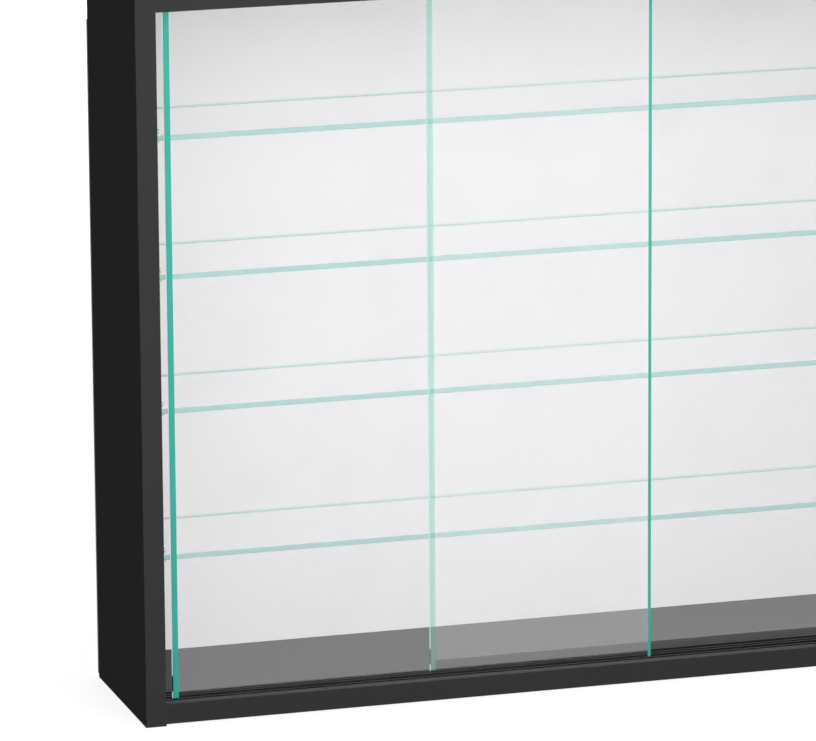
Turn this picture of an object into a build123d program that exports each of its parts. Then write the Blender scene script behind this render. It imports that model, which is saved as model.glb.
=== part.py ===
from build123d import *
import os

# Display case for trading cards: black board carcass, white back panel, four glass
# shelves on clips, and two sliding glass doors in a pair of routed plastic tracks.
# Millimetres. X runs along the width, the front faces -Y, Z is up, and the origin is
# the centre of the footprint at the level of the surface that the case stands on.

# --- driving dimensions ------------------------------------------------------------
case_width = 750.0
case_height = 570.0
side_depth = 150.0
board = 16.0                # thickness of the four carcass boards
band = 1.0                  # thickness of the front edge bands
band_rounding = 0.5
foot_gap = 1.5              # the sides stand this much past the top and bottom panels

back_thickness = 3.0
back_inset = 3.0            # back panel to the ends of the sides, top and bottom

lip = 8.0                   # board in front of each track
track_base = 1.5            # plastic under a channel
outer_wall = 1.2
relief_slot = 2.8
guide_wall = 2.5            # wall in front of the front door
middle_wall = 2.5
middle_slot = 3.0
rear_wall = 1.2
relief_depth = 3.0          # depth of the slots that hold no door
lower_channel_depth = 4.5
upper_channel_depth = 9.5
track_end_gap = 0.5

door_glass = 4.0
door_overlap = 54.0         # of the two doors when both are shut
door_arris = 0.4            # ground bevel on the upright edges of the doors
door_side_clearance = 0.5   # pane to channel wall
door_foot_clearance = 0.3   # pane to channel floor
door_top_engagement = 4.2   # pane inside the upper channel
front_door_open = 9.4       # front door's left end to the left side panel, at rest
rear_door_open = 112.5      # rear door's right end to the right side panel, at rest

shelf_glass = 4.0
shelf_depth = 108.7
shelf_back_gap = 0.3
shelf_end_gap = 2.5
shelf_arris = 0.4           # ground bevel on the shelf edges
compartment_heights = (102.5, 111.0, 100.5, 103.5)   # clear, from the floor up

clip_length = 14.0
clip_width = 9.0
clip_plate = 2.0
clip_jaw = 3.0
clip_play = 0.1             # shelf glass to upper jaw
clip_tip_radius = 3.0       # rounded corners of the lower jaw
clip_pin_radius = 2.5
clip_pin_length = 9.0
clip_inset = 10.0           # front clips, behind the shelf's front edge
rear_clip_inset = 20.0      # rear clips, in front of the shelf's rear edge

cam_radius = 7.5
cam_depth = 12.5
cam_setback = 34.0          # cam axis to the end of its panel
cam_slot_length = 10.5      # cross slots in the cams
cam_slot_width = 2.0
cam_slot_depth = 4.0        # of which half lies in the cam
cap_radius = 8.5
cap_thickness = 0.8
bolt_thread_radius = 3.0
bolt_thread_length = 10.0
bolt_shank_radius = 2.5
bolt_head_radius = 3.5
bolt_head_length = 4.0
bolt_bore_radius = 4.0
front_bolt_inset = 42.0     # from the case front
rear_bolt_inset = 25.0      # from the back panel
dowel_radius = 4.0
dowel_length = 30.0
dowel_in_side = 10.0
front_dowel_inset = 60.0    # from the case front
rear_dowel_inset = 45.0     # from the back panel
bore_clearance = 0.1        # radial, around every dowel, pin and screw
bore_end_gap = 1.0          # past the end of every dowel, pin and screw

screw_radius = 1.5
screw_length = 16.0
screw_head_radius = 3.0
screw_head_height = 1.6
drive_width = 3.0           # cross slots in the screw heads
drive_slot = 0.8
drive_depth = 1.6           # of which half lies in the head
side_screw_zs = (55.0, 285.0)    # heights of the back panel's screws in each side
panel_screw_pitch = 180.0
panel_screw_count = 4

hanger_width = 14.0
hanger_height = 40.0
hanger_plate = 1.5
hanger_corner_radius = 2.5
hanger_top = 6.0            # plate to the top of the side panel
hanger_notch_gap = 0.5      # plate to the notch in the back panel
hanging_hole_radius = 4.0
hanger_pocket_depth = 10.0
hanger_pocket_margin = 1.0  # wider than the hanging hole, all round
hanger_screw_inset = 4.5
hanger_screw_length = 16.0

# --- derived sizes and places ------------------------------------------------------
inner_width = case_width - 2 * board
total_depth = side_depth + back_thickness
front_y = -total_depth / 2
inner_back_y = front_y + side_depth
rear_y = total_depth / 2
core_depth = side_depth - band
core_y = front_y + band + core_depth / 2
floor_z = foot_gap + board
ceiling_z = case_height - floor_z

channel = door_glass + 2 * door_side_clearance
lower_track_height = track_base + lower_channel_depth
upper_track_height = track_base + upper_channel_depth
track_front_y = front_y + lip
front_channel_y = track_front_y + outer_wall + relief_slot + guide_wall + channel / 2
rear_channel_y = front_channel_y + channel + 2 * middle_wall + middle_slot

# every upright wall of a track and the gap behind it, from the front
track_layout = (
    (outer_wall, relief_slot),
    (guide_wall, channel),
    (middle_wall, middle_slot),
    (middle_wall, channel),
    (rear_wall, 0.0),
)
track_width = sum(wall + gap for wall, gap in track_layout)

door_width = (inner_width + door_overlap) / 2
door_bottom_z = floor_z - lower_channel_depth + door_foot_clearance
door_top_z = ceiling_z + door_top_engagement
door_height = door_top_z - door_bottom_z
front_door_x = -inner_width / 2 + front_door_open + door_width / 2
rear_door_x = inner_width / 2 - rear_door_open - door_width / 2

shelf_width = inner_width - 2 * shelf_end_gap
shelf_back_y = inner_back_y - shelf_back_gap
shelf_y = shelf_back_y - shelf_depth / 2
clip_ys = (shelf_back_y - shelf_depth + clip_inset, shelf_back_y - rear_clip_inset)
clip_upper_axis = shelf_glass + clip_play + clip_jaw / 2
clip_plate_top = shelf_glass + clip_play + clip_jaw
clip_plate_bottom = clip_jaw / 2 + clip_pin_radius

shelf_undersides = []
level = floor_z
for clear_height in compartment_heights:
    shelf_undersides.append(level + clear_height)
    level += clear_height + shelf_glass

panel_mid_zs = (foot_gap + board / 2, case_height - foot_gap - board / 2)
bolt_ys = (front_y + front_bolt_inset, inner_back_y - rear_bolt_inset)
dowel_ys = (front_y + front_dowel_inset, inner_back_y - rear_dowel_inset)
panel_screw_xs = [
    (index - (panel_screw_count - 1) / 2) * panel_screw_pitch
    for index in range(panel_screw_count)
]
hanger_x = (case_width - board) / 2
hanger_z = case_height - hanger_top - hanger_height / 2
hanger_screw_zs = [
    hanger_z + sign * (hanger_height / 2 - hanger_screw_inset) for sign in (-1, 1)
]


def x_rods(radius, start, length, points, mode=Mode.ADD):
    """Rods along X from start to start + length, at each (y, z) point."""
    with Locations(*[(start + length / 2, y, z) for y, z in points]):
        Cylinder(radius, length, rotation=(0, 90, 0), mode=mode)


def y_rods(radius, start, length, points, mode=Mode.ADD):
    """Rods along Y from start to start + length, at each (x, z) point."""
    with Locations(*[(x, start + length / 2, z) for x, z in points]):
        Cylinder(radius, length, rotation=(90, 0, 0), mode=mode)


def save(piece, name):
    """Label a finished piece and write its STEP file."""
    piece.part.label = name
    export_step(piece.part, f"parts/{name}.step")


os.makedirs("parts", exist_ok=True)

# --- side panels -------------------------------------------------------------------
back_screw_bite = screw_length - back_thickness
for side, sign in (("left", -1), ("right", 1)):
    inner_x = sign * inner_width / 2
    with BuildPart() as side_panel:
        with Locations((sign * (case_width - board) / 2, core_y, case_height / 2)):
            Box(board, core_depth, case_height)
        clip_holes = [
            (y, under - clip_jaw / 2) for y in clip_ys for under in shelf_undersides
        ]
        clip_depth = clip_pin_length + bore_end_gap
        x_rods(clip_pin_radius + bore_clearance, min(inner_x, inner_x + sign * clip_depth),
               clip_depth, clip_holes, Mode.SUBTRACT)
        bolt_depth = bolt_thread_length + bore_end_gap
        x_rods(bolt_thread_radius + bore_clearance, min(inner_x, inner_x + sign * bolt_depth),
               bolt_depth, [(y, z) for y in bolt_ys for z in panel_mid_zs], Mode.SUBTRACT)
        dowel_depth = dowel_in_side + bore_end_gap
        x_rods(dowel_radius + bore_clearance, min(inner_x, inner_x + sign * dowel_depth),
               dowel_depth, [(y, z) for y in dowel_ys for z in panel_mid_zs], Mode.SUBTRACT)
        screw_depth = back_screw_bite + bore_end_gap
        y_rods(screw_radius + bore_clearance, inner_back_y - screw_depth, screw_depth,
               [(sign * hanger_x, z) for z in side_screw_zs], Mode.SUBTRACT)
        hanger_depth = hanger_screw_length + bore_end_gap
        y_rods(screw_radius + bore_clearance, inner_back_y - hanger_depth, hanger_depth,
               [(sign * hanger_x, z) for z in hanger_screw_zs], Mode.SUBTRACT)
        y_rods(hanging_hole_radius + hanger_pocket_margin, inner_back_y - hanger_pocket_depth,
               hanger_pocket_depth, [(sign * hanger_x, hanger_z)], Mode.SUBTRACT)
    save(side_panel, f"side_panel_{side}")

    with BuildPart() as side_band:
        with Locations((sign * (case_width - board) / 2, front_y + band / 2, case_height / 2)):
            Box(board, band, case_height)
        outer_front = side_band.edges().filter_by(Axis.Z).group_by(Axis.Y)[0]
        fillet(outer_front.sort_by(Axis.X)[0 if sign < 0 else -1], band_rounding)
    save(side_band, f"edge_band_{side}")

# --- top and bottom panels ---------------------------------------------------------
for name, sign, mid_z, track_height in (
    ("bottom", 1, panel_mid_zs[0], lower_track_height),
    ("top", -1, panel_mid_zs[1], upper_track_height),
):
    inner_z = mid_z + sign * board / 2
    outer_z = mid_z - sign * board / 2
    with BuildPart() as panel:
        with Locations((0, core_y, mid_z)):
            Box(inner_width, core_depth, board)
        with Locations((0, track_front_y + track_width / 2, inner_z - sign * track_height / 2)):
            Box(inner_width, track_width, track_height, mode=Mode.SUBTRACT)
        bolt_bore = cam_setback
        dowel_bore = dowel_length - dowel_in_side + bore_end_gap
        for end in (-1, 1):
            end_x = end * inner_width / 2
            x_rods(bolt_bore_radius, min(end_x, end_x - end * bolt_bore), bolt_bore,
                   [(y, mid_z) for y in bolt_ys], Mode.SUBTRACT)
            x_rods(dowel_radius + bore_clearance, min(end_x, end_x - end * dowel_bore),
                   dowel_bore, [(y, mid_z) for y in dowel_ys], Mode.SUBTRACT)
            with Locations(*[(end * (inner_width / 2 - cam_setback), y,
                              outer_z + sign * cam_depth / 2) for y in bolt_ys]):
                Cylinder(cam_radius + bore_clearance, cam_depth, mode=Mode.SUBTRACT)
        screw_depth = back_screw_bite + bore_end_gap
        y_rods(screw_radius + bore_clearance, inner_back_y - screw_depth, screw_depth,
               [(x, mid_z) for x in panel_screw_xs], Mode.SUBTRACT)
    save(panel, f"{name}_panel")

    with BuildPart() as panel_band:
        with Locations((0, front_y + band / 2, mid_z)):
            Box(inner_width, band, board)
        fillet(panel_band.edges().filter_by(Axis.X).group_by(Axis.Y)[0], band_rounding)
    save(panel_band, f"edge_band_{name}")

# --- back panel --------------------------------------------------------------------
back_screws = [(sign * hanger_x, z) for sign in (-1, 1) for z in side_screw_zs]
back_screws += [(x, z) for x in panel_screw_xs for z in panel_mid_zs]
notch_width = board / 2 + hanger_width / 2 + hanger_notch_gap
notch_height = hanger_top + hanger_height + hanger_notch_gap - back_inset
with BuildPart() as back_panel:
    with Locations((0, inner_back_y + back_thickness / 2, case_height / 2)):
        Box(case_width, back_thickness, case_height - 2 * back_inset)
    for sign in (-1, 1):
        with Locations((sign * (case_width - notch_width) / 2, inner_back_y + back_thickness / 2,
                        case_height - back_inset - notch_height / 2)):
            Box(notch_width, back_thickness, notch_height, mode=Mode.SUBTRACT)
    y_rods(screw_radius + bore_clearance, inner_back_y, back_thickness, back_screws,
           Mode.SUBTRACT)
    with Locations(*[(x, rear_y - screw_head_height / 2, z) for x, z in back_screws]):
        Cone(screw_radius + bore_clearance, screw_head_radius + bore_clearance,
             screw_head_height, rotation=(-90, 0, 0), mode=Mode.SUBTRACT)
save(back_panel, "back_panel")

with BuildPart() as back_panel_screws:
    y_rods(screw_radius, rear_y - screw_length, screw_length - screw_head_height, back_screws)
    with Locations(*[(x, rear_y - screw_head_height / 2, z) for x, z in back_screws]):
        Cone(screw_radius, screw_head_radius, screw_head_height, rotation=(-90, 0, 0))
    with Locations(*[(x, rear_y, z) for x, z in back_screws]):
        Box(drive_width, drive_depth, drive_slot, mode=Mode.SUBTRACT)
        Box(drive_slot, drive_depth, drive_width, mode=Mode.SUBTRACT)
save(back_panel_screws, "back_panel_screws")

# --- door tracks -------------------------------------------------------------------
track_length = inner_width - 2 * track_end_gap
for name, sign, base_z, track_height in (
    ("lower", 1, floor_z - lower_track_height, lower_track_height),
    ("upper", -1, ceiling_z + upper_track_height, upper_track_height),
):
    with BuildPart() as track:
        with BuildSketch(Plane.YZ.offset(-track_length / 2)):
            with Locations((track_front_y + track_width / 2, base_z + sign * track_base / 2)):
                Rectangle(track_width, track_base)
            wall_y = track_front_y
            for wall, gap in track_layout:
                with Locations((wall_y + wall / 2, base_z + sign * track_height / 2)):
                    Rectangle(wall, track_height)
                if 0 < gap < channel:
                    fill = track_height - relief_depth
                    with Locations((wall_y + wall + gap / 2, base_z + sign * fill / 2)):
                        Rectangle(gap, fill)
                wall_y += wall + gap
        extrude(amount=track_length)
    save(track, f"{name}_track")

# --- sliding doors -----------------------------------------------------------------
for name, centre_x, centre_y in (
    ("front", front_door_x, front_channel_y),
    ("rear", rear_door_x, rear_channel_y),
):
    with BuildPart() as door:
        with Locations((centre_x, centre_y, door_bottom_z + door_height / 2)):
            Box(door_width, door_glass, door_height)
        chamfer(door.edges().filter_by(Axis.Z), door_arris)
    save(door, f"{name}_door")

# --- shelves and their clips -------------------------------------------------------
for number, underside in enumerate(shelf_undersides, 1):
    with BuildPart() as shelf:
        with Locations((0, shelf_y, underside + shelf_glass / 2)):
            Box(shelf_width, shelf_depth, shelf_glass)
        chamfer(shelf.edges().filter_by(Axis.X), shelf_arris)
    save(shelf, f"shelf_{number}")

    with BuildPart() as clips:
        for sign in (-1, 1):
            wall_x = sign * inner_width / 2
            jaw_centre = wall_x - sign * clip_length / 2
            plate_centre = wall_x - sign * clip_plate / 2
            plate_height = clip_plate_top + clip_plate_bottom
            plate_z = underside + (clip_plate_top - clip_plate_bottom) / 2
            with Locations(*[(jaw_centre, y, underside - clip_jaw / 2) for y in clip_ys]):
                Box(clip_length, clip_width, clip_jaw)
            with Locations(*[(plate_centre, y, plate_z) for y in clip_ys]):
                Box(clip_plate, clip_width, plate_height)
            x_rods(clip_jaw / 2, min(wall_x, wall_x - sign * clip_length), clip_length,
                   [(y, underside + clip_upper_axis) for y in clip_ys])
            x_rods(clip_pin_radius, min(wall_x, wall_x + sign * clip_pin_length),
                   clip_pin_length, [(y, underside - clip_jaw / 2) for y in clip_ys])
        upright_edges = clips.edges().filter_by(Axis.Z)
        tip_x = inner_width / 2 - clip_length
        jaw_tips = upright_edges.filter_by(lambda edge: abs(edge.center().X) < tip_x + clip_plate)
        fillet(jaw_tips, clip_tip_radius)
    save(clips, f"shelf_clips_{number}")

# --- hidden joinery ----------------------------------------------------------------
joint_ends = [(end, z) for end in (-1, 1) for z in panel_mid_zs]

with BuildPart() as corner_dowels:
    for end, z in joint_ends:
        outer_x = end * (inner_width / 2 + dowel_in_side)
        x_rods(dowel_radius, min(outer_x, outer_x - end * dowel_length), dowel_length,
               [(y, z) for y in dowel_ys])
save(corner_dowels, "corner_dowels")

with BuildPart() as cam_bolts:
    for end, z in joint_ends:
        points = [(y, z) for y in bolt_ys]
        end_x = end * inner_width / 2
        shank = cam_setback - bolt_head_length / 2
        x_rods(bolt_thread_radius, min(end_x, end_x + end * bolt_thread_length),
               bolt_thread_length, points)
        x_rods(bolt_shank_radius, min(end_x, end_x - end * shank), shank, points)
        head_x = end_x - end * (shank - bolt_head_length)
        x_rods(bolt_head_radius, min(head_x, head_x - end * bolt_head_length),
               bolt_head_length, points)
save(cam_bolts, "cam_bolts")

for name, sign, mid_z in (("bottom", 1, panel_mid_zs[0]), ("top", -1, panel_mid_zs[1])):
    outer_z = mid_z - sign * board / 2
    cam_centres = [(end * (inner_width / 2 - cam_setback), y) for end in (-1, 1) for y in bolt_ys]
    with BuildPart() as cams:
        with Locations(*[(x, y, outer_z + sign * cam_depth / 2) for x, y in cam_centres]):
            Cylinder(cam_radius, cam_depth)
        for end in (-1, 1):
            mouth = end * (inner_width / 2 - cam_setback)
            x_rods(bolt_bore_radius, min(mouth, mouth + end * cam_radius), cam_radius,
                   [(y, mid_z) for y in bolt_ys], Mode.SUBTRACT)
        with Locations(*[(x, y, outer_z) for x, y in cam_centres]):
            Box(cam_slot_length, cam_slot_width, cam_slot_depth, mode=Mode.SUBTRACT)
            Box(cam_slot_width, cam_slot_length, cam_slot_depth, mode=Mode.SUBTRACT)
    save(cams, f"{name}_cams")

    with BuildPart() as caps:
        with Locations(*[(x, y, outer_z - sign * cap_thickness / 2) for x, y in cam_centres]):
            Cylinder(cap_radius, cap_thickness)
        outer_faces = caps.faces().group_by(Axis.Z)[0 if sign > 0 else -1]
        chamfer(outer_faces.edges(), cap_thickness / 2)
    save(caps, f"{name}_cam_caps")

# --- wall hangers ------------------------------------------------------------------
for side, sign in (("left", -1), ("right", 1)):
    with BuildPart() as hanger:
        with BuildSketch(Plane.XZ.offset(-inner_back_y)):
            with Locations((sign * hanger_x, hanger_z)):
                RectangleRounded(hanger_width, hanger_height, hanger_corner_radius)
            with Locations(*[(sign * hanger_x, z) for z in hanger_screw_zs]):
                Circle(screw_radius + bore_clearance, mode=Mode.SUBTRACT)
            with Locations((sign * hanger_x, hanger_z)):
                Circle(hanging_hole_radius, mode=Mode.SUBTRACT)
        extrude(amount=-hanger_plate)
    save(hanger, f"wall_hanger_{side}")

hanger_screws_at = [(sign * hanger_x, z) for sign in (-1, 1) for z in hanger_screw_zs]
with BuildPart() as hanger_screws:
    y_rods(screw_radius, inner_back_y - hanger_screw_length, hanger_screw_length + hanger_plate,
           hanger_screws_at)
    y_rods(screw_head_radius, inner_back_y + hanger_plate, back_thickness - hanger_plate,
           hanger_screws_at)
    with Locations(*[(x, rear_y, z) for x, z in hanger_screws_at]):
        Box(drive_width, drive_depth, drive_slot, mode=Mode.SUBTRACT)
        Box(drive_slot, drive_depth, drive_width, mode=Mode.SUBTRACT)
save(hanger_screws, "hanger_screws")
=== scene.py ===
import logging
import math
from dataclasses import dataclass
from enum import Enum
from typing import Any

import bpy
import numpy as np
from mathutils import Matrix, Vector


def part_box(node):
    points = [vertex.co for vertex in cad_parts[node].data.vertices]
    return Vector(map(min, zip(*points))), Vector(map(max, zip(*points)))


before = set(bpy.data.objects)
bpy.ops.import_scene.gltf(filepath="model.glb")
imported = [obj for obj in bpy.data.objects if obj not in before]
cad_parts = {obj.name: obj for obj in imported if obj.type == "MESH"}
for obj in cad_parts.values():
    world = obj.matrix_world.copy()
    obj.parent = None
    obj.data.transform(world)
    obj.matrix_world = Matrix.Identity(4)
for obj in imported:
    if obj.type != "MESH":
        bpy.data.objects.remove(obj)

log = logging.getLogger("display_case")

MM = 0.001
SHELVES = range(1, 5)    # the shelves' numbers, from the lowest up

# The levels of a noise between which a pattern goes from its least to its most. Nearly all of a
# noise lies between 0.25 and 0.75.
GRAIN_SPREAD = (0.25, 0.75)
PATCH_SPREAD = (0.45, 0.72)    # mostly above the middle, so that a patch is an island
SMEAR_SPREAD = (0.45, 0.75)    # the same for a smear
FINE_DETAIL = 3.0              # how many times a noise is laid over itself at half the scale
PATCH_DETAIL = 4.0
PATCH_RAGGED = 0.62            # how strong each finer layer of a patch is beside the last
BUMP_STRENGTH = 0.5
WHITE = (1.0, 1.0, 1.0, 1.0)

Colour = tuple[float, float, float, float]
Place = tuple[float, float, float]
Tree = bpy.types.NodeTree
Node = bpy.types.Node
Socket = bpy.types.NodeSocket


def linear(hex_colour: str, gain: float = 1.0) -> Colour:
    """Turns an sRGB hex colour to the linear colour that a node takes, by the standard's curve.

    Args:
        hex_colour: six hex digits with a leading hash.
        gain: how much lighter or darker than the colour the result is.

    Returns:
        Red, green, blue and an alpha of one.
    """
    parts = [int(hex_colour[i:i + 2], 16) / 255 for i in (1, 3, 5)]
    lit = [p / 12.92 if p <= 0.04045 else ((p + 0.055) / 1.055) ** 2.4 for p in parts]
    return lit[0] * gain, lit[1] * gain, lit[2] * gain, 1.0


def add(tree: Tree, kind: str, inputs: dict[int | str, Any] | None = None, **settings: Any) -> Node:
    """Adds one node to a tree, gives it its settings, and sets or links its inputs.

    Args:
        tree: the node tree that takes the node.
        kind: the node's type, such as ShaderNodeTexNoise.
        inputs: the name or index of each input, with its value, or the socket or node that feeds
            it. A node feeds it from its first output in use.
        settings: the node's own settings, by name.

    Returns:
        The new node.
    """
    node = tree.nodes.new(kind)
    for name, value in settings.items():
        setattr(node, name, value)
    for key, value in (inputs or {}).items():
        if isinstance(value, Node):
            value = next(output for output in value.outputs if output.enabled)
        if isinstance(value, Socket):
            tree.links.new(value, node.inputs[key])
        else:
            node.inputs[key].default_value = value
    return node


def emptied(owner: bpy.types.Material | bpy.types.World) -> Tree:
    """Turns on the node tree of a new material or world, and empties it.

    Args:
        owner: the material or world.

    Returns:
        Its tree.
    """
    owner.use_nodes = True
    owner.node_tree.nodes.clear()
    return owner.node_tree


def put_in_scene(name: str, data: bpy.types.ID) -> bpy.types.Object:
    """Makes an object of a mesh, lamp or camera, and puts it in the scene.

    Args:
        name: the object's name.
        data: what it shows.

    Returns:
        The object, at the origin.
    """
    thing = bpy.data.objects.new(name, data)
    bpy.context.scene.collection.objects.link(thing)
    return thing


class Side(Enum):
    """The two upright ends of a sliding pane."""

    LEFT = "left"
    RIGHT = "right"


@dataclass(frozen=True)
class Span:
    """Lowest and highest corner of a node, in metres."""

    low: Vector
    high: Vector

    @classmethod
    def of(cls, node: str) -> "Span":
        """Reads the corners of a node at rest."""
        low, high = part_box(node)
        return cls(Vector(low), Vector(high))

    @property
    def centre(self) -> Vector:
        """The middle of the box."""
        return (self.low + self.high) / 2

    @property
    def half(self) -> Vector:
        """Half of the box's size."""
        return (self.high - self.low) / 2


# ---------------------------------------------------------------------------
# Finishes
# ---------------------------------------------------------------------------

@dataclass(frozen=True)
class Finish:
    """What every finish has: a name, and ways to start and end its node tree."""

    name: str

    def start(self) -> tuple[bpy.types.Material, Tree, Socket]:
        """Makes the material with an empty tree.

        Returns:
            The material, its tree, and the point in the piece's own metres, which moves with it.
        """
        material = bpy.data.materials.new(self.name)
        tree = emptied(material)
        return material, tree, add(tree, "ShaderNodeTexCoord").outputs["Object"]

    def end(self, tree: Tree, shader: Node) -> None:
        """Shows a shader as the material's surface."""
        add(tree, "ShaderNodeOutputMaterial", {"Surface": shader})


@dataclass(frozen=True)
class Skin(Finish):
    """A solid surface whose tone, gloss and height come from one fine grain.

    Attributes:
        colour: the mean colour.
        worn: the colour that rubbed edges and dusty patches go to.
        contrast: how far the grain lightens and darkens the colour.
        roughness: the mean roughness.
        uneven: how far the grain moves the roughness.
        shine: the level of the mirror part, 0.5 for plain plastic.
        metallic: 1 for metal.
        grain: the width of one grain, in metres.
        drawn: how much the grain is stretched along each axis, 1 for none.
        height: how deep the grain is, in metres.
        patch: the width of one worn or dusty patch, in metres.
        wear: how much of the worn colour the patches take.
        rim: how wide a board's worn edge is, in metres.
        span: the board's box, where its edges wear.
    """

    colour: str = "#808080"
    worn: str = "#909090"
    contrast: float = 0.1
    roughness: float = 0.5
    uneven: float = 0.06
    shine: float = 0.5
    metallic: float = 0.0
    grain: float = 1.0 * MM
    drawn: tuple[float, float, float] = (1.0, 1.0, 1.0)
    height: float = 0.03 * MM
    patch: float = 12 * MM
    wear: float = 0.3
    rim: float = 1.0 * MM
    span: Span | None = None

    def near_edge(self, tree: Tree, place: Socket) -> Node:
        """Gives 1 on the board's edges, and 0 further in than the rim.

        On each axis, the depth under the face is half the size minus the distance from the
        middle. On a face the least of the three is nought, so the middle one is the distance to
        the edge: their sum, less the greatest and the least.

        Args:
            tree: the node tree.
            place: the point on the board.

        Returns:
            The node that gives it.
        """
        moved = add(tree, "ShaderNodeVectorMath", {0: place, 1: self.span.centre[:]},
                    operation="SUBTRACT")
        size = add(tree, "ShaderNodeVectorMath", {0: moved}, operation="ABSOLUTE")
        depth = add(tree, "ShaderNodeVectorMath", {0: self.span.half[:], 1: size},
                    operation="SUBTRACT")
        x, y, z = add(tree, "ShaderNodeSeparateXYZ", {0: depth}).outputs
        result = {}
        for operation in ("ADD", "MAXIMUM", "MINIMUM"):
            pair = add(tree, "ShaderNodeMath", {0: x, 1: y}, operation=operation)
            result[operation] = add(tree, "ShaderNodeMath", {0: pair, 1: z}, operation=operation)
        rest = add(tree, "ShaderNodeMath", {0: result["ADD"], 1: result["MAXIMUM"]},
                   operation="SUBTRACT")
        middle = add(tree, "ShaderNodeMath", {0: rest, 1: result["MINIMUM"]}, operation="SUBTRACT")
        return add(tree, "ShaderNodeMapRange", {"Value": middle, "From Max": self.rim,
                                                "To Min": 1.0, "To Max": 0.0},
                   interpolation_type="SMOOTHSTEP")

    def add_painted_light(self, tree: Tree, place: Socket, colour: Node) -> Node:
        """Gives the colour as it is. A finish with painted light on it has its own.

        Args:
            tree: the node tree.
            place: the point on the piece.
            colour: the finish's colour.

        Returns:
            The node that gives the tinted colour.
        """
        return colour

    def make(self) -> bpy.types.Material:
        """Builds the material.

        Returns:
            The finished material.
        """
        material, tree, place = self.start()
        along = tuple(1 / stretch for stretch in self.drawn)
        drawn = add(tree, "ShaderNodeVectorMath", {0: place, 1: along}, operation="MULTIPLY")
        grain = add(tree, "ShaderNodeTexNoise", {"Vector": drawn, "Scale": 1 / self.grain,
                                                 "Detail": FINE_DETAIL})
        patch = add(tree, "ShaderNodeTexNoise", {"Vector": place, "Scale": 1 / self.patch,
                                                 "Detail": PATCH_DETAIL,
                                                 "Roughness": PATCH_RAGGED})
        tone = add(tree, "ShaderNodeMix", {0: grain, 6: linear(self.colour, 1 - self.contrast),
                                           7: linear(self.colour, 1 + self.contrast)},
                   data_type="RGBA")
        worn = add(tree, "ShaderNodeMapRange", {
            "Value": patch, "From Min": PATCH_SPREAD[0], "From Max": PATCH_SPREAD[1],
            "To Max": self.wear}, interpolation_type="SMOOTHSTEP")
        if self.span:
            worn = add(tree, "ShaderNodeMath", {0: worn, 1: self.near_edge(tree, place)},
                       operation="MULTIPLY")
        # the colour with its wear, then any painted light that the finish lays on it
        colour = self.add_painted_light(tree, place, add(tree, "ShaderNodeMix", {
            0: worn, 6: tone, 7: linear(self.worn)}, data_type="RGBA"))
        rough = add(tree, "ShaderNodeMapRange", {
            "Value": grain, "From Min": GRAIN_SPREAD[0], "From Max": GRAIN_SPREAD[1],
            "To Min": self.roughness - self.uneven, "To Max": self.roughness + self.uneven})
        bump = add(tree, "ShaderNodeBump", {"Strength": BUMP_STRENGTH, "Distance": self.height,
                                            "Height": grain})
        shader = add(tree, "ShaderNodeBsdfPrincipled", {
            "Base Color": colour, "Roughness": rough, "Specular IOR Level": self.shine,
            "Metallic": self.metallic, "Normal": bump})
        self.end(tree, shader)
        return material


@dataclass(frozen=True)
class Melamine(Skin):
    """Black melamine-faced particle board, pressed against a finely pitted plate.

    The pressed paper gives the eye a flat, even black with a faint pearl grain and little shine.
    The real pits are 0.3 mm wide. They are drawn three times as wide, so that they show.
    """

    colour: str = "#303031"
    worn: str = "#48484a"
    contrast: float = 0.14
    roughness: float = 0.58
    shine: float = 0.1
    grain: float = 0.9 * MM
    wear: float = 0.5
    rim: float = 1.2 * MM


@dataclass(frozen=True)
class Edging(Skin):
    """Black ABS edge band, ironed on and scraped flush.

    It is the board's own black, a little smoother, with a lighter line where it is scraped.
    """

    colour: str = "#303031"
    worn: str = "#4a4a4c"
    contrast: float = 0.1
    roughness: float = 0.5
    shine: float = 0.1
    grain: float = 1.1 * MM
    patch: float = 9 * MM
    wear: float = 0.6
    rim: float = 0.9 * MM


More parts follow.
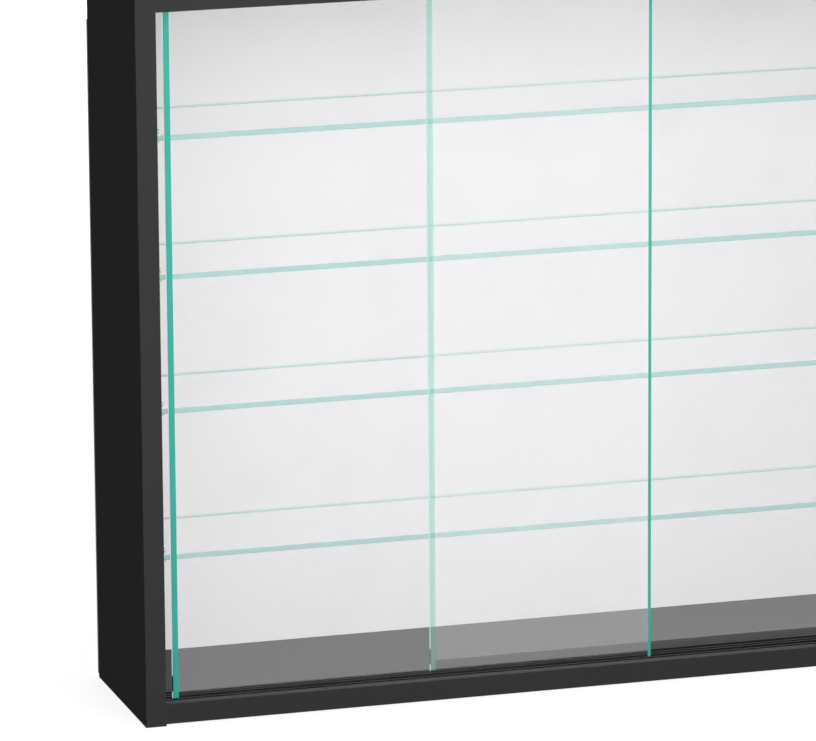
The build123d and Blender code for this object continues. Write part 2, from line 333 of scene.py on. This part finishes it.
@dataclass(frozen=True)
class WhiteBoard(Skin):
    """White lacquered hard fibre board.

    The lacquer gives the eye a clean, slightly cool white with the roller's faint orange peel.
    Just above each shelf it has a narrow green rim, painted on, for the green light that a
    sheet's rear edge throws there.

    Attributes:
        tops: the heights of the shelves' tops.
        face: the place along Y of the board's middle. Only the face in front of it has the rims.
        rim_light: what the painted green light does to the white, just above a shelf.
        reach: how far up the rim goes, in metres.
    """

    tops: tuple[float, ...] = ()
    face: float = 0.0
    rim_light: str = "#c6ece2"
    reach: float = 1.7 * MM
    colour: str = "#ebebed"
    worn: str = "#e5e5e8"
    contrast: float = 0.01
    roughness: float = 0.5
    shine: float = 0.2
    grain: float = 2.4 * MM
    patch: float = 60 * MM
    wear: float = 0.5

    def add_painted_light(self, tree: Tree, place: Socket, colour: Node) -> Node:
        """Paints the shelves' green edge light on the front face just above each shelf, evenly less
        from 1 to 0 over the reach.

        Args:
            tree: the node tree.
            place: the point on the piece.
            colour: the lacquer's colour.

        Returns:
            The node that gives the tinted colour.
        """
        _, y, z = add(tree, "ShaderNodeSeparateXYZ", {0: place}).outputs
        ahead = add(tree, "ShaderNodeMath", {0: y, 1: self.face}, operation="LESS_THAN")
        lit: Node | float = 0.0
        for top in self.tops:
            above = add(tree, "ShaderNodeMath", {0: z, 1: top}, operation="GREATER_THAN")
            fall = add(tree, "ShaderNodeMapRange", {"Value": z, "From Min": top,
                                                    "From Max": top + self.reach,
                                                    "To Min": 1.0, "To Max": 0.0})
            one = add(tree, "ShaderNodeMath", {0: above, 1: fall}, operation="MULTIPLY")
            lit = add(tree, "ShaderNodeMath", {0: lit, 1: one}, operation="MAXIMUM")
        share = add(tree, "ShaderNodeMath", {0: ahead, 1: lit}, operation="MULTIPLY")
        return add(tree, "ShaderNodeMix", {0: share, 6: colour, 7: linear(self.rim_light)},
                   data_type="RGBA", blend_type="MULTIPLY")


@dataclass(frozen=True)
class TrackPlastic(Skin):
    """Black rigid PVC, extruded along the case.

    The die leaves fine streaks along the length, which draw its satin shine out in lines.
    """

    colour: str = "#131314"
    worn: str = "#1e1e20"
    contrast: float = 0.1
    roughness: float = 0.42
    shine: float = 0.1
    grain: float = 0.7 * MM
    drawn: tuple[float, float, float] = (400.0, 1.0, 1.0)
    height: float = 0.01 * MM
    patch: float = 7 * MM
    wear: float = 0.5


@dataclass(frozen=True)
class NickelPlate(Skin):
    """Nickel-plated steel, tumbled before plating: warm, bright, with a soft sparkle.

    The tumbled steel scatters part of the light, which gives the eye a pale satin rod.
    """

    colour: str = "#e9e6e1"
    worn: str = "#cfcac2"
    contrast: float = 0.04
    roughness: float = 0.2
    metallic: float = 0.9
    grain: float = 0.5 * MM
    height: float = 0.01 * MM
    patch: float = 4 * MM


@dataclass(frozen=True)
class ZincPlate(Skin):
    """Zinc-plated steel: cool grey, with the plating's dull blotches.

    The plating's fine crystals scatter part of the light, so it stays grey where it mirrors dark.
    """

    colour: str = "#c9ccd1"
    worn: str = "#a4a9b0"
    contrast: float = 0.08
    roughness: float = 0.34
    metallic: float = 0.6
    grain: float = 0.7 * MM
    height: float = 0.01 * MM
    patch: float = 5 * MM
    wear: float = 0.7


@dataclass(frozen=True)
class ZincCasting(Skin):
    """Die-cast zinc, tumbled: a grey, grainy skin with flow marks."""

    colour: str = "#b5b6b9"
    worn: str = "#8f9195"
    contrast: float = 0.12
    roughness: float = 0.5
    metallic: float = 1.0
    grain: float = 0.9 * MM
    height: float = 0.05 * MM
    patch: float = 3 * MM
    wear: float = 0.8


@dataclass(frozen=True)
class CapPlastic(Skin):
    """Black moulded polyethylene, spark-eroded to a soft, slightly waxy skin."""

    colour: str = "#2e2e2f"
    worn: str = "#3a3a3b"
    contrast: float = 0.15
    roughness: float = 0.48
    shine: float = 0.35
    grain: float = 0.45 * MM
    height: float = 0.02 * MM


@dataclass(frozen=True)
class Beech(Skin):
    """Turned beech, its short brown flecks running along the dowel."""

    colour: str = "#c39a68"
    worn: str = "#95693c"
    contrast: float = 0.2
    roughness: float = 0.62
    grain: float = 0.5 * MM
    drawn: tuple[float, float, float] = (8.0, 1.0, 1.0)
    patch: float = 3 * MM
    wear: float = 0.6


@dataclass(frozen=True)
class Glow:
    """The green that light takes on along the inside of a sheet, where an edge lets it out, painted
    on as a colour: partly the glass's own green, partly painted light.

    Attributes:
        colour: the green itself.
        body: how much it hides of what is behind it.
        tint: the colour that it gives to what still shows through.
        roughness: how the ground edge blurs what it mirrors.
        shine: the level of its mirror part.
    """

    colour: str
    body: float
    tint: str = "#ffffff"
    roughness: float = 0.25
    shine: float = 0.1

    def make(self, tree: Tree) -> Node:
        """Builds the green.

        Args:
            tree: the node tree.

        Returns:
            Its shader.
        """
        lit = add(tree, "ShaderNodeBsdfPrincipled", {
            "Base Color": linear(self.colour), "Roughness": self.roughness,
            "Specular IOR Level": self.shine})
        through = add(tree, "ShaderNodeBsdfTransparent", {"Color": linear(self.tint)})
        return add(tree, "ShaderNodeMixShader", {0: self.body, 1: through, 2: lit})


@dataclass(frozen=True)
class Sheet(Finish):
    """Clear float glass: a faint even mirror on the outside, and nothing to see inside.

    Attributes:
        span: the sheet's box.
        mirror_ior: what the outer face mirrors by, for both faces of the sheet together.
        smear: how wide the wiping cloth's smears are, in metres.
        smear_blur: how rough the mirror is where a smear is thickest.
    """

    span: Span | None = None
    mirror_ior: float = 1.52
    smear: float = 70 * MM
    smear_blur: float = 0.06

    def face(self, tree: Tree, place: Socket) -> tuple[Node, Node]:
        """Builds the clear face.

        Args:
            tree: the node tree.
            place: the point on the sheet.

        Returns:
            The shader, and the node that gives 1 on the sheet's outside and 0 on its inside.
        """
        smear = add(tree, "ShaderNodeTexNoise", {"Vector": place, "Scale": 1 / self.smear,
                                                 "Detail": FINE_DETAIL})
        rough = add(tree, "ShaderNodeMapRange", {
            "Value": smear, "From Min": SMEAR_SPREAD[0], "From Max": SMEAR_SPREAD[1],
            "To Max": self.smear_blur})
        gloss = add(tree, "ShaderNodeBsdfGlossy", {"Color": WHITE, "Roughness": rough})
        clear = add(tree, "ShaderNodeBsdfTransparent", {"Color": WHITE})
        mirror = add(tree, "ShaderNodeFresnel", {"IOR": self.mirror_ior})
        inside = add(tree, "ShaderNodeNewGeometry").outputs["Backfacing"]
        outside = add(tree, "ShaderNodeMath", {0: 1.0, 1: inside}, operation="SUBTRACT")
        share = add(tree, "ShaderNodeMath", {0: mirror, 1: outside}, operation="MULTIPLY")
        return add(tree, "ShaderNodeMixShader", {0: share, 1: clear, 2: gloss}), outside


@dataclass(frozen=True)
class Band:
    """One upright band of painted green light on a sliding pane's front face, beside its ground
    end.

    Attributes:
        side: the end it is beside.
        stop: how far from the end it stops, in metres.
        fade: how wide its soft inner edge is, in metres.
        glow: its green.
    """

    side: Side
    stop: float
    fade: float
    glow: Glow


@dataclass(frozen=True)
class DoorGlass(Sheet):
    """Float glass for a sliding pane, with ground and polished upright ends.

    The faces give the eye an even, faint veil of the pale room. Beside the ends the front face has
    bands of painted sea-green light, for the light that comes out there, and the ground end faces
    have a painted glow, for the light that enters the pane's face and runs along inside it to the
    end.

    Attributes:
        bands: the painted green light beside the ends.
        mirror_ior: above float glass's own, so that the pane veils what is dark behind it.
        end_glow_colour: the colour of an end face's painted glow.
        end_tint: what an end face does to the light from behind it.
        end_body: how much of what is behind an end face its painted glow hides.
        end_depth: how near to the pane's limit a point is on the end face, in metres.
        end_dark_reflection: the heights between which an end has no painted glow, a painted
            reflection of the black track that keeps it dark.
    """

    bands: tuple[Band, ...] = ()
    mirror_ior: float = 2.23
    end_glow_colour: str = "#d8f4f0"
    end_tint: str = "#90d5c3"
    end_body: float = 0.6
    end_depth: float = 0.02 * MM
    end_dark_reflection: tuple[float, float] = (22 * MM, 34.5 * MM)

    def make(self) -> bpy.types.Material:
        """Builds the material.

        Returns:
            The finished material.
        """
        material, tree, place = self.start()
        shown, outside = self.face(tree, place)
        shown = self.banded(tree, place, shown, outside)
        self.end(tree, self.ended(tree, place, shown, outside))
        return material

    def banded(self, tree: Tree, place: Socket, shown: Node, outside: Node) -> Node:
        """Lays the painted green bands over the front face.

        Args:
            tree: the node tree.
            place: the point on the pane.
            shown: the shader of the clear pane.
            outside: the node that gives 1 on the sheet's outside.

        Returns:
            The pane's shader with its bands.
        """
        x, y, _ = add(tree, "ShaderNodeSeparateXYZ", {0: place}).outputs
        ahead = add(tree, "ShaderNodeMath", {0: y, 1: self.span.centre.y}, operation="LESS_THAN")
        front = add(tree, "ShaderNodeMath", {0: ahead, 1: outside}, operation="MULTIPLY")
        for band in self.bands:
            within = add(tree, "ShaderNodeMapRange", {
                "Value": self.away(tree, x, band.side), "From Min": band.stop - band.fade,
                "From Max": band.stop, "To Min": 1.0, "To Max": 0.0},
                interpolation_type="SMOOTHSTEP")
            share = add(tree, "ShaderNodeMath", {0: within, 1: front}, operation="MULTIPLY")
            shown = add(tree, "ShaderNodeMixShader", {0: share, 1: shown, 2: band.glow.make(tree)})
        return shown

    def ended(self, tree: Tree, place: Socket, shown: Node, outside: Node) -> Node:
        """Gives the two ground end faces a painted glow, but for a dark band low down, a painted
        reflection of the black track.

        Args:
            tree: the node tree.
            place: the point on the pane.
            shown: the shader of the pane's other faces.
            outside: the node that gives 1 on the sheet's outside.

        Returns:
            The whole pane's shader.
        """
        x, _, z = add(tree, "ShaderNodeSeparateXYZ", {0: place}).outputs
        low, high = self.end_dark_reflection
        # a painted reflection of the black track keeps this band of each end dark
        dark = add(tree, "ShaderNodeMath", {0: z, 1: (low + high) / 2, 2: (high - low) / 2},
                   operation="COMPARE")
        bright = add(tree, "ShaderNodeMath", {0: 1.0, 1: dark}, operation="SUBTRACT")
        # the ends' painted glow, an emission
        own = add(tree, "ShaderNodeEmission", {"Color": linear(self.end_glow_colour),
                                               "Strength": bright})
        through = add(tree, "ShaderNodeBsdfTransparent", {"Color": linear(self.end_tint)})
        ground = add(tree, "ShaderNodeMixShader", {0: self.end_body, 1: through, 2: own})
        for side in Side:
            at_end = add(tree, "ShaderNodeMath", {0: self.away(tree, x, side), 1: self.end_depth},
                         operation="LESS_THAN")
            flat = add(tree, "ShaderNodeMath", {0: at_end, 1: outside}, operation="MULTIPLY")
            shown = add(tree, "ShaderNodeMixShader", {0: flat, 1: shown, 2: ground})
        return shown

    def away(self, tree: Tree, x: Socket, side: Side) -> Node:
        """Gives how far a point is from one of the pane's upright ends.

        Args:
            tree: the node tree.
            x: the point's place along the pane.
            side: the end.

        Returns:
            The node that gives the distance, in metres.
        """
        limit = self.span.low.x if side is Side.LEFT else self.span.high.x
        beside = add(tree, "ShaderNodeMath", {0: x, 1: limit}, operation="SUBTRACT")
        return add(tree, "ShaderNodeMath", {0: beside}, operation="ABSOLUTE")


@dataclass(frozen=True)
class ShelfGlass(Sheet):
    """Float glass for a shelf, with ground edges.

    The sheet's whole depth is behind its front edge, so the iron tints that edge pale sea green.
    The rear edge shows through the last millimetres of the top, as the glass bends the view, which
    is painted there as a green strip, and on the rear edge itself only a thin line is seen.

    Attributes:
        front: the front edge's green.
        rear: the rear edge's green.
        line: how high the rear edge's thin line is, in metres.
        bent: how far in from the rear edge the top shows it, in metres.
        skin: how near to a face a point is on it, in metres.
        arris: the width of the front edge's ground bevel, in metres.
    """

    front: Glow = Glow("#84bab5", 0.8)
    rear: Glow = Glow("#84bab5", 0.85)
    line: float = 0.5 * MM
    bent: float = 2.5 * MM
    skin: float = 0.05 * MM
    arris: float = 0.4 * MM

    def make(self) -> bpy.types.Material:
        """Builds the material.

        Returns:
            The finished material.
        """
        material, tree, place = self.start()
        _, y, z = add(tree, "ShaderNodeSeparateXYZ", {0: place}).outputs
        low, high = self.span.low, self.span.high
        clear, _ = self.face(tree, place)
        at_front = add(tree, "ShaderNodeMath", {0: y, 1: low.y + self.arris}, operation="LESS_THAN")
        shown = add(tree, "ShaderNodeMixShader", {0: at_front, 1: clear, 2: self.front.make(tree)})
        marks = []    # the thin line on the rear face, then the strip along the top's rear, a painted image of the rear edge
        for depth, height in ((self.skin, self.line), (self.bent, self.skin)):
            back = add(tree, "ShaderNodeMath", {0: y, 1: high.y - depth}, operation="GREATER_THAN")
            top = add(tree, "ShaderNodeMath", {0: z, 1: high.z - height}, operation="GREATER_THAN")
            marks.append(add(tree, "ShaderNodeMath", {0: back, 1: top}, operation="MULTIPLY"))
        at_rear = add(tree, "ShaderNodeMath", {0: marks[0], 1: marks[1]}, operation="MAXIMUM")
        shown = add(tree, "ShaderNodeMixShader", {0: at_rear, 1: shown, 2: self.rear.make(tree)})
        self.end(tree, shown)
        return material


# ---------------------------------------------------------------------------
# The case
# ---------------------------------------------------------------------------

def dress(node: str, material: bpy.types.Material, clear: bool = False) -> None:
    """Puts a finish in every material slot of a CAD node.

    Args:
        node: the node's name.
        material: its finish.
        clear: True for glass, which lets the lamps through, and the light between the boards.
    """
    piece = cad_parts[node]
    piece.visible_shadow = not clear
    piece.visible_diffuse = not clear
    for slot in piece.material_slots:
        slot.material = material
    if not piece.material_slots:
        piece.data.materials.append(material)
    log.info("dressed %s with %s", node, material.name)


@dataclass
class Carcass:
    """The black box: four boards, their front bands, and the white back.

    Attributes:
        boards: the boards' nodes.
        bands: the front bands' nodes.
        clean: the boards' black.
        painted_lit_black: the bottom board's black, lighter: painted light for its up-facing top,
            which the lamps light more than the upright faces.
        shaded: the bottom band's black, darker: painted shade for the foot of the front, which gets
            less light.
    """

    boards: tuple[str, ...] = ("side_panel_left", "side_panel_right", "top_panel", "bottom_panel")
    bands: tuple[str, ...] = ("edge_band_left", "edge_band_right", "edge_band_top",
                              "edge_band_bottom")
    clean: str = "#303031"
    painted_lit_black: str = "#424243"
    shaded: str = "#2d2d2e"

    def build(self) -> None:
        """Dresses the boards, the bands and the back."""
        for node in self.boards:
            # the bottom board's top takes a lighter black, painted light
            tone = self.painted_lit_black if node == "bottom_panel" else self.clean
            dress(node, Melamine(f"black_melamine_{node}", tone, span=Span.of(node)).make())
        for node in self.bands:
            # the bottom band takes a darker black, painted shade
            tone = self.shaded if node == "edge_band_bottom" else self.clean
            dress(node, Edging(f"black_abs_{node}", tone, span=Span.of(node)).make())
        tops = tuple(Span.of(f"shelf_{number}").high.z for number in SHELVES)
        dress("back_panel", WhiteBoard("white_lacquered_fibre_board", tops=tops,
                                       face=Span.of("back_panel").centre.y).make())


@dataclass
class SlidingDoors:
    """The two panes and the two grooved tracks that they slide in.

    Attributes:
        deep: the green of the front pane's ends, which hides nearly all behind it.
        soft: the green of the rear pane's ends, seen through the front pane or the clear glass.
        front_bands: the front pane's bands.
        rear_bands: the rear pane's bands.
    """

    deep: Glow = Glow("#37a494", 0.98)
    soft: Glow = Glow("#6bb3ab", 0.38, "#dcfdf2")
    front_bands: tuple[Band, ...] = (Band(Side.LEFT, 4.5 * MM, 0.2 * MM, deep),
                                     Band(Side.RIGHT, 2.7 * MM, 0.2 * MM, deep))
    rear_bands: tuple[Band, ...] = (Band(Side.LEFT, 4.5 * MM, 1.4 * MM, soft),
                                    Band(Side.RIGHT, 2.2 * MM, 0.4 * MM, soft))

    def build(self) -> None:
        """Dresses the tracks and the panes."""
        track = TrackPlastic("black_extruded_pvc").make()
        dress("lower_track", track)
        dress("upper_track", track)
        for door, bands in (("front_door", self.front_bands), ("rear_door", self.rear_bands)):
            dress(door, DoorGlass(f"float_glass_{door}", Span.of(door), bands=bands).make(),
                  clear=True)


@dataclass
class Shelving:
    """The glass shelves, on four clips each.

    Attributes:
        numbers: the numbers in the nodes' names.
    """

    numbers: range = SHELVES

    def build(self) -> None:
        """Dresses the shelves and their clips."""
        nickel = NickelPlate("nickel_plated_steel").make()
        for number in self.numbers:
            glass = ShelfGlass(f"float_glass_shelf_{number}", Span.of(f"shelf_{number}")).make()
            dress(f"shelf_{number}", glass, clear=True)
            dress(f"shelf_clips_{number}", nickel)


@dataclass
class Fixings:
    """What joins the boards: dowels, cam bolts, cams, caps, back screws and wall hangers.

    Attributes:
        zinc: the nodes of zinc-plated steel.
        casting: the nodes of cast zinc.
        caps: the nodes of black plastic.
    """

    zinc: tuple[str, ...] = ("cam_bolts", "back_panel_screws", "hanger_screws", "wall_hanger_left",
                             "wall_hanger_right")
    casting: tuple[str, ...] = ("bottom_cams", "top_cams")
    caps: tuple[str, ...] = ("bottom_cam_caps", "top_cam_caps")

    def build(self) -> None:
        """Dresses the fixings."""
        zinc = ZincPlate("zinc_plated_steel").make()
        casting = ZincCasting("tumbled_zinc_casting").make()
        cap = CapPlastic("black_moulded_polyethylene").make()
        for node in self.zinc:
            dress(node, zinc)
        for node in self.casting:
            dress(node, casting)
        for node in self.caps:
            dress(node, cap)
        dress("corner_dowels", Beech("fluted_beech").make())


# ---------------------------------------------------------------------------
# The studio
# ---------------------------------------------------------------------------

@dataclass(frozen=True)
class Lamp:
    """One soft box: where it hangs, where it points, its size in metres and its power in watts."""

    name: str
    place: Place
    aim: Place
    size: float
    power: float

    def build(self) -> None:
        """Hangs the lamp. Shiny faces don't mirror it, only the white surround."""
        data = bpy.data.lights.new(self.name, "AREA")
        data.shape = "SQUARE"
        data.size = self.size
        data.energy = self.power
        lamp = put_in_scene(self.name, data)
        lamp.visible_glossy = False
        lamp.location = self.place
        aim = Vector(self.aim) - Vector(self.place)
        lamp.rotation_euler = aim.to_track_quat("-Z", "Y").to_euler()
        log.info("hung %s", self.name)


@dataclass
class Studio:
    """A pale floor, a white surround, soft boxes and the camera.

    Attributes:
        middle: the point near the case's middle that every lamp points at, in metres.
        lamps: the soft boxes. The front ones light the white back evenly, the last two light the
            right side and the rear.
        fill: how strongly the surround lights what is dull.
        ahead: how far a direction leans to +Y, from where a shiny face mirrors pure white to where
            it mirrors only what is behind the case.
        behind: how bright a shiny face mirrors what is behind the case.
        floor_size: the floor's side, in metres.
        floor_grey: how much of the lamps' light the floor gives back.
        floor_glow: the floor's own glow round the case.
        floor_fade: the distances between which that glow rises to white, in metres.
        camera_place: where the camera stands, in metres.
        camera_yaw: how far the camera is turned from +Y towards +X, in radians.
        camera_pitch: how far it is tipped down, in radians.
        camera_roll: how far its picture is turned, in radians.
        lens: its focal length, in millimetres.
        sensor: its picture's width on the sensor, in millimetres.
    """

    middle: Place = (0.0, 0.0, 0.3)
    lamps: tuple[Lamp, ...] = (
        Lamp("high_box", (0.0, -0.7, 2.3), middle, 0.8, 12.0),
        Lamp("near_box", (0.0, -1.0, 1.0), middle, 0.8, 6.0),
        Lamp("low_box", (-0.1, -1.2, 0.45), middle, 0.5, 9.8),
        Lamp("left_box", (-0.9, -1.1, 0.6), middle, 0.8, 2.1),
        Lamp("side_box", (2.6, 0.9, 0.9), middle, 1.2, 20.0),
        Lamp("rear_box", (0.9, 3.2, 1.6), middle, 2.0, 100.0),
    )
    fill: float = 0.1
    ahead: tuple[float, float] = (-0.1, 0.3)
    behind: float = 0.0
    floor_size: float = 60.0
    floor_grey: float = 0.16
    floor_glow: float = 0.9
    floor_fade: tuple[float, float] = (1.2, 4.0)
    camera_place: Place = (-1.517426, -4.625962, 1.370464)
    camera_yaw: float = 0.28899
    camera_pitch: float = 0.22884
    camera_roll: float = 0.006759
    lens: float = 281.75
    sensor: float = 36.0

    def build(self) -> None:
        """Sets up everything round the case."""
        for lamp in self.lamps:
            lamp.build()
        self.surround()
        self.floor()
        self.camera()
        bpy.context.scene.view_settings.view_transform = "Standard"
        bpy.context.scene.cycles.caustics_reflective = False    # it would only speckle the white

    def surround(self) -> None:
        """Makes the world white to the eye, and a dim, even fill for everything else.

        What a shiny face mirrors is white in front of the case and dark behind it, as in a studio
        whose white wall faces the case. Light that has met a dull surface gets only the fill.
        """
        world = bpy.data.worlds.new("white_surround")
        bpy.context.scene.world = world
        tree = emptied(world)
        path = add(tree, "ShaderNodeLightPath").outputs
        along = add(tree, "ShaderNodeSeparateXYZ", {
            0: add(tree, "ShaderNodeTexCoord").outputs["Generated"]}).outputs[1]
        facing = add(tree, "ShaderNodeMapRange", {
            "Value": along, "From Min": self.ahead[0], "From Max": self.ahead[1],
            "To Min": 1.0, "To Max": self.behind}, interpolation_type="SMOOTHSTEP")
        mirrored = add(tree, "ShaderNodeMath", {0: path["Is Glossy Ray"], 1: facing},
                       operation="MULTIPLY")
        indirect = add(tree, "ShaderNodeMath", {0: mirrored, 1: path["Is Transmission Ray"]},
                       operation="MAXIMUM")
        # The depth is a whole number, so this is 1 only before the light meets a dull surface.
        first = add(tree, "ShaderNodeMath", {0: path["Diffuse Depth"], 1: 0.5},
                    operation="LESS_THAN")
        kept = add(tree, "ShaderNodeMath", {0: indirect, 1: first}, operation="MULTIPLY")
        seen = add(tree, "ShaderNodeMath", {0: kept, 1: path["Is Camera Ray"]}, operation="MAXIMUM")
        strength = add(tree, "ShaderNodeMapRange", {"Value": seen, "To Min": self.fill,
                                                    "To Max": 1.0})
        back = add(tree, "ShaderNodeBackground", {"Color": WHITE, "Strength": strength})
        add(tree, "ShaderNodeOutputWorld", {"Surface": back})

    def floor(self) -> None:
        """Lays the floor, which is the plane z = 0, as a grid of two by two corners."""
        half = self.floor_size / 2
        across, along = np.meshgrid([-half, half], [-half, half], indexing="ij")
        points = np.stack([across, along, np.zeros_like(across)], axis=-1).reshape(-1, 3)
        mesh = bpy.data.meshes.new("floor")
        mesh.from_pydata(points.tolist(), [], [(0, 2, 3, 1)])
        floor = put_in_scene("floor", mesh)
        mesh.materials.append(self.paper())
        log.info("laid the floor")

    def paper(self) -> bpy.types.Material:
        """Builds the floor's material: white to the eye, with the case's shadow.

        Its own glow and the lamps' light make white together, and the glow rises to white as that
        light dies away. It isn't there from below, nor for what a shiny face mirrors, which sees
        the surround through it.

        Returns:
            The finished material.
        """
        material = bpy.data.materials.new("white_paper")
        tree = emptied(material)
        grey = self.floor_grey
        dull = add(tree, "ShaderNodeBsdfDiffuse", {"Color": (grey, grey, grey, 1.0)})
        path = add(tree, "ShaderNodeLightPath").outputs
        seen = add(tree, "ShaderNodeMath", {0: path["Is Camera Ray"],
                                            1: path["Is Transmission Ray"]},
                   operation="MAXIMUM")
        away = add(tree, "ShaderNodeVectorMath", {
            0: add(tree, "ShaderNodeTexCoord").outputs["Object"]}, operation="LENGTH").outputs[1]
        near, far = self.floor_fade
        level = add(tree, "ShaderNodeMapRange", {"Value": away, "From Min": near, "From Max": far,
                                                 "To Min": self.floor_glow, "To Max": 1.0},
                    interpolation_type="SMOOTHSTEP")
        glow = add(tree, "ShaderNodeMath", {0: seen, 1: level}, operation="MULTIPLY")
        light = add(tree, "ShaderNodeEmission", {"Color": WHITE, "Strength": glow})
        both = add(tree, "ShaderNodeAddShader", {0: dull, 1: light})
        clear = add(tree, "ShaderNodeBsdfTransparent")
        under = add(tree, "ShaderNodeNewGeometry").outputs["Backfacing"]
        unseen = add(tree, "ShaderNodeMath", {0: under, 1: path["Is Glossy Ray"]},
                     operation="MAXIMUM")
        shown = add(tree, "ShaderNodeMixShader", {0: unseen, 1: both, 2: clear})
        add(tree, "ShaderNodeOutputMaterial", {"Surface": shown})
        return material

    def camera(self) -> None:
        """Places the camera.

        Its axes are the way ahead, then right and down of a level picture, turned by the roll.
        """
        yaw, pitch, roll = self.camera_yaw, self.camera_pitch, self.camera_roll
        ahead = Vector((math.sin(yaw) * math.cos(pitch), math.cos(yaw) * math.cos(pitch),
                        -math.sin(pitch)))
        right = Vector((math.cos(yaw), -math.sin(yaw), 0.0))
        down = ahead.cross(right)
        turned = right * math.cos(roll) + down * math.sin(roll)
        up = right * math.sin(roll) - down * math.cos(roll)
        data = bpy.data.cameras.new("camera")
        data.sensor_width = self.sensor
        data.sensor_fit = "HORIZONTAL"
        data.lens = self.lens
        camera = put_in_scene("camera", data)
        turn = Matrix((turned, up, -ahead)).transposed().to_4x4()
        camera.matrix_world = Matrix.Translation(self.camera_place) @ turn
        bpy.context.scene.camera = camera
        log.info("placed the camera")


def main() -> None:
    """Builds the case and its studio."""
    logging.basicConfig(level=logging.INFO, format="%(message)s")
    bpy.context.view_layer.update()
    for part in (Carcass(), SlidingDoors(), Shelving(), Fixings(), Studio()):
        part.build()
        log.info("%s is done", type(part).__name__)


if __name__ == "__main__":
    main()
